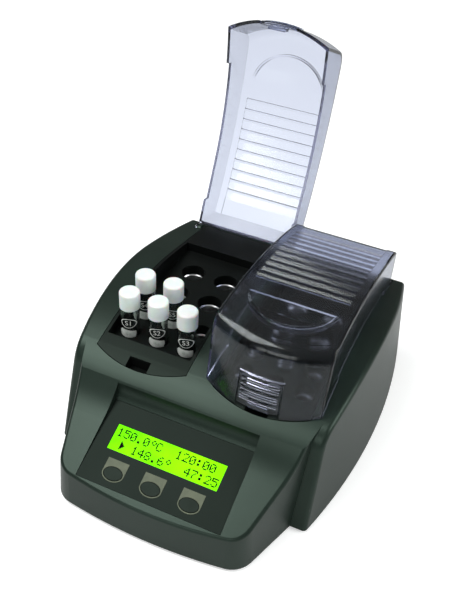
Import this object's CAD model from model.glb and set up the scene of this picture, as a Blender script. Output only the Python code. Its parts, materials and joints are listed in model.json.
import json
import math
from contextlib import contextmanager

import bpy
from mathutils import Matrix, Vector


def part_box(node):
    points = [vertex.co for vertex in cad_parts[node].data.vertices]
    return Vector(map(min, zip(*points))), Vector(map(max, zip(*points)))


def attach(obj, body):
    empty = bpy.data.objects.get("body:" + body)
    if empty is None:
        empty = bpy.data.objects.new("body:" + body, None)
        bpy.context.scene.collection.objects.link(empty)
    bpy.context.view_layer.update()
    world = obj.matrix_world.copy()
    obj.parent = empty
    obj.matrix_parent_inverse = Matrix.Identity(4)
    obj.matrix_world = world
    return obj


# A chemical oxygen demand reactor: the looks of its moulded housing, clear lids, display, keys and vials.

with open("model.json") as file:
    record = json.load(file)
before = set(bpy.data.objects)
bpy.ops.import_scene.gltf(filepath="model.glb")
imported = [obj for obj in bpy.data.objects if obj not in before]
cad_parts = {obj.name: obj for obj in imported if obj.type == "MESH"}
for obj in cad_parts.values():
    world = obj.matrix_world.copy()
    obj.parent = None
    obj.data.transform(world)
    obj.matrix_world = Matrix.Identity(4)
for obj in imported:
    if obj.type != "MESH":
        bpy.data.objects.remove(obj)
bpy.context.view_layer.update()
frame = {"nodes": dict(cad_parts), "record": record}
nodes = frame["nodes"]
print("frame loaded:", len(nodes), "nodes")

mm = 0.001
hinge = [(a + b) / 2 for a, b in zip(*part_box("hinge_pins_right"))]
hingeY = 5.5 * mm                       # the hinge line, in the part's own lengths
offsetY = hinge[1] - hingeY
plasticIor = 1.53                       # the real plastics run from about 1.49 to 1.58
driftContrast = (0.35, 0.65)            # where in the noise the two colours of a surface lie
smoothAngle = math.radians(35)          # edges of new pieces that are sharper stay sharp


def hexColour(code):
    # an sRGB hex value as the linear colour that a shader takes
    channels = [int(code[i:i + 2], 16) / 255 for i in (1, 3, 5)]
    linear = [c / 12.92 if c <= 0.04045 else ((c + 0.055) / 1.055) ** 2.4 for c in channels]
    return (*linear, 1)


def addNode(tree, kind, settings=None, links=None):
    # one node, its settings by socket or property name, and what feeds its sockets
    node = tree.nodes.new(kind)
    for name, value in (settings or {}).items():
        if name in node.inputs:
            node.inputs[name].default_value = value
        else:
            setattr(node, name, value)
    for name, source in (links or {}).items():
        tree.links.new(source, node.inputs[name])
    return node


def emptyMaterial(name):
    material = bpy.data.materials.new(name)
    material.use_nodes = True
    material.node_tree.nodes.clear()
    return material, material.node_tree


def perMetre(size):
    return 1 / size                     # texture scale for a pattern of that size in metres


def variedColour(tree, place, look):
    # slow drift between two close colours, as moulded or machined surfaces have
    settings = {"Scale": perMetre(look["drift"] * mm), "Detail": 3.0}
    drift = addNode(tree, "ShaderNodeTexNoise", settings, {"Vector": place})
    ramp = addNode(tree, "ShaderNodeValToRGB", {}, {"Fac": drift.outputs["Fac"]})
    first, last = ramp.color_ramp.elements
    first.position, last.position = driftContrast
    first.color, last.color = hexColour(look["dark"]), hexColour(look["light"])
    return ramp.outputs["Color"]


def grainBump(tree, place, size, height):
    # fine unevenness of a surface, as deep as height
    settings = {"Scale": perMetre(size), "Detail": 2.0}
    grain = addNode(tree, "ShaderNodeTexNoise", settings, {"Vector": place})
    settings = {"Strength": 1.0, "Distance": height}
    bump = addNode(tree, "ShaderNodeBump", settings, {"Height": grain.outputs["Fac"]})
    return bump.outputs["Normal"]


def mouldedPlastic(name, look):
    # a moulded plastic or rubber: fine grain from its tool, soft broad reflections
    material, tree = emptyMaterial(name)
    place = addNode(tree, "ShaderNodeTexCoord").outputs["Object"]
    colour = variedColour(tree, place, look)
    grain = grainBump(tree, place, look["grain"] * mm, look["grainHeight"] * mm)
    settings = {
        "Roughness": look["roughness"], "IOR": plasticIor, "Specular IOR Level": look.get("specular", 0.5),
        "Specular Tint": hexColour(look.get("sheen", "#ffffff")),
        "Subsurface Weight": look.get("bleed", 0.0), "Subsurface Scale": look.get("depth", 1.0) * mm,
    }
    surface = addNode(tree, "ShaderNodeBsdfPrincipled", settings, {"Base Color": colour, "Normal": grain})
    addNode(tree, "ShaderNodeOutputMaterial", {}, {"Surface": surface.outputs["BSDF"]})
    return material


def clearMaterial(name, look):
    # a clear plastic or glass; what it absorbs shows in its thick edges
    material, tree = emptyMaterial(name)
    settings = {
        "Base Color": hexColour(look["tint"]), "Roughness": look["roughness"], "IOR": look["ior"],
        "Transmission Weight": 1.0, "Specular Tint": hexColour(look.get("sheen", "#ffffff")),
    }
    surface = addNode(tree, "ShaderNodeBsdfPrincipled", settings)
    output = {"Surface": surface.outputs["BSDF"]}
    if "absorbed" in look:
        soak = {"Color": hexColour(look["absorbed"]), "Density": look["density"]}
        output["Volume"] = addNode(tree, "ShaderNodeVolumeAbsorption", soak).outputs["Volume"]
    addNode(tree, "ShaderNodeOutputMaterial", {}, output)
    return material


def thinWindow(name, look):
    # a thin flat window: almost all of what lies behind it shows
    material, tree = emptyMaterial(name)
    settings = {
        "Base Color": hexColour(look["tint"]), "Roughness": look["roughness"], "Alpha": look["cover"],
    }
    surface = addNode(tree, "ShaderNodeBsdfPrincipled", settings)
    addNode(tree, "ShaderNodeOutputMaterial", {}, {"Surface": surface.outputs["BSDF"]})
    return material


def metal(name, look):
    # a machined or brushed metal, with its marks drawn out along x where it is brushed
    material, tree = emptyMaterial(name)
    place = addNode(tree, "ShaderNodeTexCoord").outputs["Object"]
    stretch = {"Scale": look.get("stretch", (1, 1, 1))}
    stretched = addNode(tree, "ShaderNodeMapping", stretch, {"Vector": place}).outputs["Vector"]
    colour = variedColour(tree, stretched, look)
    lines = grainBump(tree, stretched, look["grain"] * mm, look["grainHeight"] * mm)
    settings = {"Roughness": look["roughness"], "Metallic": 1.0}
    surface = addNode(tree, "ShaderNodeBsdfPrincipled", settings, {"Base Color": colour, "Normal": lines})
    addNode(tree, "ShaderNodeOutputMaterial", {}, {"Surface": surface.outputs["BSDF"]})
    return material


def litDisplay(name, look):
    # backlit liquid crystal: even yellow-green with a slow drift from its lamps
    material, tree = emptyMaterial(name)
    place = addNode(tree, "ShaderNodeTexCoord").outputs["Object"]
    colour = variedColour(tree, place, look)
    settings = {
        "Base Color": hexColour(look["base"]), "Roughness": look["roughness"], "Specular IOR Level": 0.0,
        "Emission Strength": look["strength"],
    }
    surface = addNode(tree, "ShaderNodeBsdfPrincipled", settings, {"Emission Color": colour})
    addNode(tree, "ShaderNodeOutputMaterial", {}, {"Surface": surface.outputs["BSDF"]})
    return material


# grain sizes are in millimetres, drawn about twice as coarse as the real texture so that they show
housingLook = {                         # spark-eroded moulded ABS: dark grey-green, broad soft highlights
    "dark": "#151e19", "light": "#1a241f", "drift": 60, "grain": 0.5, "grainHeight": 0.03, "roughness": 0.34,
    "specular": 0.30, "sheen": "#d8f6e4",
}
coverLook = {                           # moulded phenolic: near black and dull round the bright bores
    "dark": "#0b0c0c", "light": "#0f1010", "drift": 50, "grain": 0.4, "grainHeight": 0.02, "roughness": 0.4,
    "specular": 0.12, "sheen": "#dcffe9",
}
panelLook = {                           # matt polyester film: flat dark grey round the display
    "dark": "#121614", "light": "#161a18", "drift": 45, "grain": 0.35, "grainHeight": 0.01, "roughness": 0.5,
    "specular": 0.12, "sheen": "#dcffe9",
}
blackLook = {                           # moulded nylon: plain black with a little shine
    "dark": "#131413", "light": "#191a19", "drift": 30, "grain": 0.5, "grainHeight": 0.03, "roughness": 0.42,
}
keyLook = {                             # moulded silicone rubber: matt, close to the grey of the panel
    "dark": "#131613", "light": "#181c19", "drift": 10, "grain": 0.3, "grainHeight": 0.02, "roughness": 0.5,
    "specular": 0.15, "sheen": "#dcffe9",
}
tagLook = {                             # printed surround of a key: flat olive
    "dark": "#565d4c", "light": "#606754", "drift": 8, "grain": 0.3, "grainHeight": 0.01, "roughness": 0.55,
    "specular": 0.2,
}
capLook = {                             # moulded polypropylene: white, and light goes a little way in
    "dark": "#e2e2e0", "light": "#eaeae8", "drift": 9, "grain": 0.5, "grainHeight": 0.01, "roughness": 0.45,
    "bleed": 0.6, "depth": 6,
}
rubberLook = {                          # moulded rubber: dull black
    "dark": "#161616", "light": "#1d1d1c", "drift": 9, "grain": 0.6, "grainHeight": 0.05, "roughness": 0.75,
}
lidLook = {                             # moulded polycarbonate: clear, faintly violet, darker in its edges
    "tint": "#d1d6e4", "roughness": 0.12, "ior": 1.49, "sheen": "#c0c4c0", "absorbed": "#6f6cc4",
    "density": 16,
}
glassLook = {"tint": "#f4faf7", "roughness": 0.0, "ior": 1.5}         # drawn borosilicate: clear and sharp
windowLook = {"tint": "#101810", "roughness": 0.2, "cover": 0.02}     # cast acrylic: only a trace of shine
displayLook = {                         # backlight behind liquid crystal: even yellow-green
    "dark": "#62f400", "light": "#90ff00", "base": "#061400", "drift": 40, "roughness": 0.6,
    "strength": 1.7,
}
blockLook = {                           # machined aluminium: bright rims in the wells
    "dark": "#c9cbcc", "light": "#dfe0e0", "drift": 12, "grain": 0.4, "grainHeight": 0.01, "roughness": 0.28,
}
steelLook = {                           # brushed stainless steel: grey with fine level lines
    "dark": "#9d9fa1", "light": "#b4b6b7", "drift": 14, "grain": 0.3, "grainHeight": 0.01, "roughness": 0.35,
    "stretch": (1, 12, 12),
}
brassLook = {                           # turned brass: warm yellow pins
    "dark": "#b59a5c", "light": "#c9b074", "drift": 6, "grain": 0.3, "grainHeight": 0.01, "roughness": 0.3,
}
boardLook = {                           # epoxy board under green solder resist
    "dark": "#0f4a26", "light": "#14562d", "drift": 12, "grain": 0.5, "grainHeight": 0.01, "roughness": 0.35,
}
fibreLook = {                           # pressed ceramic fibre: off-white and woolly
    "dark": "#d8d6cd", "light": "#e6e4dc", "drift": 6, "grain": 0.8, "grainHeight": 0.3, "roughness": 0.9,
}
heaterLook = {                          # moulded silicone mat: orange-brown and dull
    "dark": "#8a4a24", "light": "#9a552b", "drift": 8, "grain": 0.5, "grainHeight": 0.02, "roughness": 0.5,
}
leadLook = {                            # extruded silicone: dark red leads
    "dark": "#4a1512", "light": "#571a16", "drift": 8, "grain": 0.5, "grainHeight": 0.01, "roughness": 0.45,
}

materials = {
    "housing_plastic": mouldedPlastic("housingAbs", housingLook),
    "cover_plastic": mouldedPlastic("coverPhenolic", coverLook),
    "clear_plastic": clearMaterial("lidPolycarbonate", lidLook),
    "rubber": mouldedPlastic("footRubber", rubberLook),
    "steel": metal("satinSteel", steelLook),
    "block_metal": metal("machinedAluminium", blockLook),
    "panel_plastic": mouldedPlastic("panelPolyester", panelLook),
    "display_window": thinWindow("windowAcrylic", windowLook),
    "display_glass": litDisplay("displayBacklit", displayLook),
    "tag_plastic": mouldedPlastic("tagPrint", tagLook),
    "key_plastic": mouldedPlastic("keyRubber", keyLook),
    "black_plastic": mouldedPlastic("blackNylon", blackLook),
    "board": mouldedPlastic("boardEpoxy", boardLook),
    "component": mouldedPlastic("componentEpoxy", blackLook),
    "brass": metal("pinBrass", brassLook),
    "insulation": mouldedPlastic("ceramicFibre", fibreLook),
    "heater": mouldedPlastic("heaterSilicone", heaterLook),
    "lead": mouldedPlastic("leadSilicone", leadLook),
    "glass": clearMaterial("vialBorosilicate", glassLook),
    "cap_plastic": mouldedPlastic("capPolypropylene", capLook),
}


def dress(piece, material):
    piece.data.materials.clear()
    piece.data.materials.append(material)


for part in frame["record"]["subparts"]:
    dress(nodes[part["node"]], materials[part["material_slot"]])
print("materials made:", len(materials))


def pick(piece):
    # make one object the only selected and active one
    bpy.ops.object.select_all(action="DESELECT")
    piece.select_set(True)
    bpy.context.view_layer.objects.active = piece


@contextmanager
def editingEdges(piece):
    pick(piece)
    bpy.ops.object.mode_set(mode="EDIT")
    bpy.ops.mesh.select_mode(type="EDGE")
    yield
    bpy.ops.object.mode_set(mode="OBJECT")


def settle(piece, name, body, material):
    # name, finish and carry a new piece, with its place in its mesh
    pick(piece)
    bpy.ops.object.transform_apply(location=True, rotation=True, scale=True)
    bpy.ops.object.shade_smooth_by_angle(angle=smoothAngle)
    piece.name = name
    dress(piece, material)
    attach(piece, body)


def joined(pieces):
    bpy.context.view_layer.update()
    bpy.ops.object.select_all(action="DESELECT")
    for piece in pieces:
        piece.select_set(True)
    bpy.context.view_layer.objects.active = pieces[0]
    bpy.ops.object.join()
    return pieces[0]


def copyOf(piece, move):
    twin = piece.copy()
    twin.data = piece.data.copy()
    twin.location = Vector(piece.location) + Vector(move)
    bpy.context.scene.collection.objects.link(twin)
    return twin


panel = {
    "tilt": math.radians(22.74), "y": -243.4 * mm, "z": 48.3 * mm,
    "lcdU": -1.7 * mm, "lcdV": 5.4 * mm, "glassTop": -1.2 * mm,
}
panelOut = Vector((0, -math.sin(panel["tilt"]), math.cos(panel["tilt"])))
panelUp = Vector((0, math.cos(panel["tilt"]), math.sin(panel["tilt"])))
panelCentre = Vector((0, panel["y"] + offsetY, panel["z"]))
panelFrame = Matrix((
    (1, 0, 0, panelCentre.x), (0, panelUp.y, panelOut.y, panelCentre.y),
    (0, panelUp.z, panelOut.z, panelCentre.z), (0, 0, 0, 1),
))

characters = {
    "dot": 0.98 * mm, "pitch": 5.6 * mm, "thick": 0.05 * mm, "lift": 0.075 * mm, "rowV": 4.8 * mm,
    "middleColumn": 7.5, "middleDot": 2, "middleLine": 3,
    "upper": "150.0\"C  120:00", "lower": " > 148.6\"  47:25",
}
glyphs = {                              # five dots across and seven down, a row at a time
    "0": "01110 10001 10011 10101 11001 10001 01110", "1": "00100 01100 00100 00100 00100 00100 01110",
    "2": "01110 10001 00001 00010 00100 01000 11111", "4": "00010 00110 01010 10010 11111 00010 00010",
    "5": "11111 10000 11110 00001 00001 10001 01110", "6": "00110 01000 10000 11110 10001 10001 01110",
    "7": "11111 00001 00010 00100 01000 01000 01000", "8": "01110 10001 10001 01110 10001 10001 01110",
    "C": "01110 10001 10000 10000 10000 10001 01110", "\"": "00110 01001 01001 00110 00000 00000 00000",
    ".": "00000 00000 00000 00000 00000 01100 01100", ":": "00000 01100 01100 00000 01100 01100 00000",
    ">": "01000 01100 01110 01111 01110 01100 01000", " ": "",
}
crystalLook = {                         # liquid crystal that is switched on: near black, no shine
    "dark": "#060a04", "light": "#090e06", "drift": 9, "grain": 0.5, "grainHeight": 0.001, "roughness": 0.6,
    "specular": 0.0,
}
crystal = mouldedPlastic("darkCrystal", crystalLook)


def displayCharacters():
    # dot matrix numbers just above the lit glass
    step = characters["dot"]
    bpy.ops.mesh.primitive_cube_add(size=1)
    dot = bpy.context.active_object
    dot.scale = (characters["dot"], characters["dot"], characters["thick"])
    bpy.ops.object.transform_apply(location=False, rotation=False, scale=True)
    dots = []
    rows = ((characters["upper"], characters["rowV"]), (characters["lower"], -characters["rowV"]))
    for text, v in rows:
        for column, letter in enumerate(text):
            u = (column - characters["middleColumn"]) * characters["pitch"]
            for line, bits in enumerate(glyphs[letter].split()):
                for across, bit in enumerate(bits):
                    if bit == "1":
                        right, up = across - characters["middleDot"], characters["middleLine"] - line
                        dots.append(copyOf(dot, (right * step + u, up * step + v, 0)))
    bpy.data.objects.remove(dot)
    block = joined(dots)
    lift = panel["glassTop"] + characters["lift"]
    block.data.transform(block.matrix_world)
    block.matrix_world = panelFrame @ Matrix.Translation((panel["lcdU"], panel["lcdV"], lift))
    settle(block, "display_characters", "housing", crystal)


displayCharacters()
print("display done")


inkLook = {                             # screen-printed white ink: flat and slightly grey
    "dark": "#d4dad4", "light": "#e2e6e1", "drift": 4, "grain": 0.4, "grainHeight": 0.01, "roughness": 0.6,
}
ink = mouldedPlastic("whiteInk", inkLook)
printLift = 0.04 * mm                   # printed marks above what they are printed on
vialMark = {
    "turn": math.radians(19), "standOff": 1.5 * mm, "patchZ": 87.0 * mm, "patchHalf": (6.7 * mm, 4.6 * mm),
    "slant": -0.3, "rounding": 0.45, "frameZ": 98.2 * mm, "frameHalf": (6.4 * mm, 4.7 * mm), "line": 0.88,
    "letterSize": (6.4 * mm, 6.4 * mm), "letterCuts": 3, "patchGrid": (24, 16), "ringSides": 64,
    "count": 5,
}


def wrapped(piece, target):
    # lay a flat mark against the round wall in front of it
    wrap = piece.modifiers.new("wrap", "SHRINKWRAP")
    wrap.target = target
    wrap.wrap_method = "PROJECT"
    wrap.use_project_x = wrap.use_project_y = False
    wrap.use_project_z = True
    wrap.use_negative_direction = wrap.use_positive_direction = True
    wrap.offset = printLift
    pick(piece)
    bpy.ops.object.modifier_apply(modifier="wrap")


def addRing(sides, inner):
    # a flat ring of radius 1, with its hole as a share of that
    bpy.ops.mesh.primitive_circle_add(vertices=sides, radius=1)
    ring = bpy.context.active_object
    with editingEdges(ring):
        bpy.ops.mesh.select_all(action="SELECT")
        bpy.ops.mesh.extrude_edges_move()
        bpy.ops.transform.resize(value=(inner, inner, 1), center_override=(0, 0, 0))
    return ring


def standing(place, halves, slant=0.0):
    # stand the active flat mark in front of a vial, facing outwards
    piece = bpy.context.active_object
    wide, high = halves
    shape = Matrix(((wide, 0, 0, 0), (slant * wide, high, 0, 0), (0, 0, 1, 0), (0, 0, 0, 1)))
    piece.matrix_world = place @ Matrix.Rotation(math.radians(90), 4, "X") @ shape
    return piece


def addNumber(text):
    # flat text as a mesh fine enough to bend round the glass
    bpy.ops.object.text_add()
    number = bpy.context.active_object
    number.data.body, number.data.size = text, 1.0
    number.data.align_x = number.data.align_y = "CENTER"
    bpy.ops.object.convert(target="MESH")
    with editingEdges(number):
        bpy.ops.mesh.select_all(action="SELECT")
        bpy.ops.mesh.subdivide(number_cuts=vialMark["letterCuts"])


def vialMarks(index):
    # a write-on patch, and a printed oval with the sample's number, on each vial
    vial = f"vial_{index}"
    low, high = (Vector(corner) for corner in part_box(vial))
    centre = (low + high) / 2
    out = Matrix.Translation((centre.x, centre.y, 0)) @ Matrix.Rotation(vialMark["turn"], 4, "Z")
    front = (high.x - low.x) / 2 + vialMark["standOff"]
    patchPlace = out @ Matrix.Translation((0, -front, vialMark["patchZ"]))
    framePlace = out @ Matrix.Translation((0, -front, vialMark["frameZ"]))

    across, upward = vialMark["patchGrid"]
    bpy.ops.mesh.primitive_grid_add(x_subdivisions=across, y_subdivisions=upward, size=2)
    patch = standing(patchPlace, vialMark["patchHalf"], vialMark["slant"])
    rounding = patch.modifiers.new("rounding", "CAST")
    rounding.factor, rounding.use_z = vialMark["rounding"], False
    pick(patch)
    bpy.ops.object.modifier_apply(modifier="rounding")

    addRing(vialMark["ringSides"], vialMark["line"])
    ring = standing(framePlace, vialMark["frameHalf"])
    addNumber(f"S{index}")
    number = standing(framePlace, vialMark["letterSize"])
    for mark, kind in ((patch, "patch"), (ring, "frame"), (number, "number")):
        wrapped(mark, nodes[vial])
        settle(mark, f"{vial}_{kind}", vial, ink)


for index in range(1, vialMark["count"] + 1):
    vialMarks(index)
print("vials done")


rockerMark = {                          # as shares of the rocker's height, and half sizes
    "rise": 0.24, "barHalf": (0.4 * mm, 2.0 * mm), "ringHalf": (2.0 * mm, 2.0 * mm), "line": 0.7,
    "standOff": 1 * mm, "barGrid": (2, 6), "ringSides": 40,
}


def rockerMarks():
    # a bar and a ring printed on the two halves of the rocker
    low, high = (Vector(corner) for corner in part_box("switch_rocker"))
    centre, height = (low + high) / 2, high.z - low.z
    behind = Matrix.Translation((centre.x, high.y + rockerMark["standOff"], centre.z))
    facing = Matrix.Rotation(math.radians(-90), 4, "X")
    rise = height * rockerMark["rise"]

    across, upward = rockerMark["barGrid"]
    bpy.ops.mesh.primitive_grid_add(x_subdivisions=across, y_subdivisions=upward, size=2)
    bar = bpy.context.active_object
    ring = addRing(rockerMark["ringSides"], rockerMark["line"])
    placed = (
        (bar, "rocker_bar", rise, rockerMark["barHalf"]),
        (ring, "rocker_ring", -rise, rockerMark["ringHalf"]),
    )
    for mark, name, z, halves in placed:
        mark.matrix_world = behind @ Matrix.Translation((0, 0, z)) @ facing @ Matrix.Diagonal((*halves, 1, 1))
        wrapped(mark, nodes["switch_rocker"])
        settle(mark, name, "switch_rocker", ink)


rockerMarks()
print("switch done")


cameraPlace = {
    "x": 186.58 * mm, "y": -597.24 * mm, "z": 528.18 * mm, "azimuth": 22.04, "elevation": 38.72,
    "roll": 3.84, "focalPixels": 816.3, "frameHeight": 600, "sensor": 36.0,
}


def placeCamera():
    az, el = math.radians(cameraPlace["azimuth"]), math.radians(cameraPlace["elevation"])
    roll = math.radians(cameraPlace["roll"])
    back = Vector((math.sin(az) * math.cos(el), -math.cos(az) * math.cos(el), math.sin(el)))
    level = Vector((math.cos(az), math.sin(az), 0))
    up = back.cross(level)
    right = level * math.cos(roll) + up * math.sin(roll)
    top = up * math.cos(roll) - level * math.sin(roll)
    data = bpy.data.cameras.new("camera")
    data.sensor_width = cameraPlace["sensor"]
    data.sensor_fit = "AUTO"
    data.lens = cameraPlace["focalPixels"] / cameraPlace["frameHeight"] * cameraPlace["sensor"]
    camera = bpy.data.objects.new("camera", data)
    bpy.context.scene.collection.objects.link(camera)
    spot = Vector((cameraPlace["x"], cameraPlace["y"] + offsetY, cameraPlace["z"]))
    camera.matrix_world = Matrix.Translation(spot) @ Matrix((right, top, back)).transposed().to_4x4()
    bpy.context.scene.camera = camera


def seenDirectly(tree):
    # 1 for what the camera sees, also through the lids and vials, and 0 for what they mirror
    ray = addNode(tree, "ShaderNodeLightPath")
    depth = {0: ray.outputs["Glossy Depth"]}
    unmirrored = addNode(tree, "ShaderNodeMath", {"operation": "LESS_THAN"}, depth)
    unmirrored.inputs[1].default_value = 0.5    # 0 is not mirrored yet, 1 is mirrored once
    through = {0: ray.outputs["Is Transmission Ray"], 1: unmirrored.outputs[0]}
    seen = addNode(tree, "ShaderNodeMath", {"operation": "MULTIPLY"}, through).outputs[0]
    sources = {0: ray.outputs["Is Camera Ray"], 1: seen}
    return addNode(tree, "ShaderNodeMath", {"operation": "MAXIMUM"}, sources).outputs[0]


floorLook = {                           # pale card, whiter to the eye where the lamps fade
    "size": 12, "card": "#e8eae9", "roughness": 0.9, "specular": 0.1, "nearGlow": 0.45, "farGlow": 1.0,
    "nearReach": 0.6, "farReach": 3.0,
}


def addFloor():
    bpy.ops.object.select_all(action="DESELECT")
    bpy.ops.mesh.primitive_plane_add(size=floorLook["size"], location=(0, 0, 0))
    floor = bpy.context.active_object
    floor.name = "floor"
    material, tree = emptyMaterial("floorCard")
    settings = {
        "Base Color": hexColour(floorLook["card"]), "Roughness": floorLook["roughness"],
        "Specular IOR Level": floorLook["specular"], "Emission Color": hexColour("#ffffff"),
    }
    place = addNode(tree, "ShaderNodeTexCoord").outputs["Object"]
    away = addNode(tree, "ShaderNodeVectorMath", {"operation": "LENGTH"}, {0: place}).outputs["Value"]
    reach = {
        "From Min": floorLook["nearReach"], "From Max": floorLook["farReach"],
        "To Min": floorLook["nearGlow"], "To Max": floorLook["farGlow"],
    }
    glow = addNode(tree, "ShaderNodeMapRange", reach, {"Value": away}).outputs["Result"]
    sources = {0: glow, 1: seenDirectly(tree)}
    seen = addNode(tree, "ShaderNodeMath", {"operation": "MULTIPLY"}, sources).outputs[0]
    surface = addNode(tree, "ShaderNodeBsdfPrincipled", settings, {"Emission Strength": seen})
    addNode(tree, "ShaderNodeOutputMaterial", {}, {"Surface": surface.outputs["BSDF"]})
    dress(floor, material)


lamps = {                               # wide soft panels: place, aim, size in metres and watts
    "skyPanel": ((-0.55, -0.35, 1.3), (0, -0.05, 0.05), (0.95, 0.7), 15.5),
    "rightPanel": ((1.2, 0.1, 0.9), (0, -0.02, 0.06), (0.8, 0.9), 12),
    "frontPanel": ((-0.1, -1.5, 0.75), (0, -0.1, 0.08), (0.9, 0.5), 4.5),
}
room = {"level": 0.04, "above": 0.45}   # how bright the room is to the sides and overhead


def addLamp(name, place, target, size, power):
    data = bpy.data.lights.new(name, "AREA")
    data.shape = "RECTANGLE"
    data.size, data.size_y = size
    data.energy = power
    lamp = bpy.data.objects.new(name, data)
    bpy.context.scene.collection.objects.link(lamp)
    lamp.location = place
    aim = Vector(target) - Vector(place)
    lamp.rotation_euler = aim.to_track_quat("-Z", "Y").to_euler()


def addLight():
    # a white backdrop that the camera sees, and a dimmer room that lights the object
    world = bpy.data.worlds.new("studio")
    bpy.context.scene.world = world
    world.use_nodes = True
    tree = world.node_tree
    tree.nodes.clear()
    white = hexColour("#ffffff")
    place = addNode(tree, "ShaderNodeTexCoord").outputs["Generated"]
    way = addNode(tree, "ShaderNodeSeparateXYZ", {}, {"Vector": place})
    rising = {"To Min": room["level"], "To Max": room["above"]}
    strength = addNode(tree, "ShaderNodeMapRange", rising, {"Value": way.outputs["Z"]}).outputs["Result"]
    dim = addNode(tree, "ShaderNodeBackground", {"Color": white}, {"Strength": strength})
    backdrop = addNode(tree, "ShaderNodeBackground", {"Color": white, "Strength": 1.0})
    sources = {0: seenDirectly(tree), 1: dim.outputs["Background"], 2: backdrop.outputs["Background"]}
    mixed = addNode(tree, "ShaderNodeMixShader", {}, sources)
    addNode(tree, "ShaderNodeOutputWorld", {}, {"Surface": mixed.outputs["Shader"]})
    for name, settings in lamps.items():
        addLamp(name, *settings)


placeCamera()
addFloor()
addLight()
bpy.context.scene.view_settings.view_transform = "Standard"
print("camera, floor and light set")
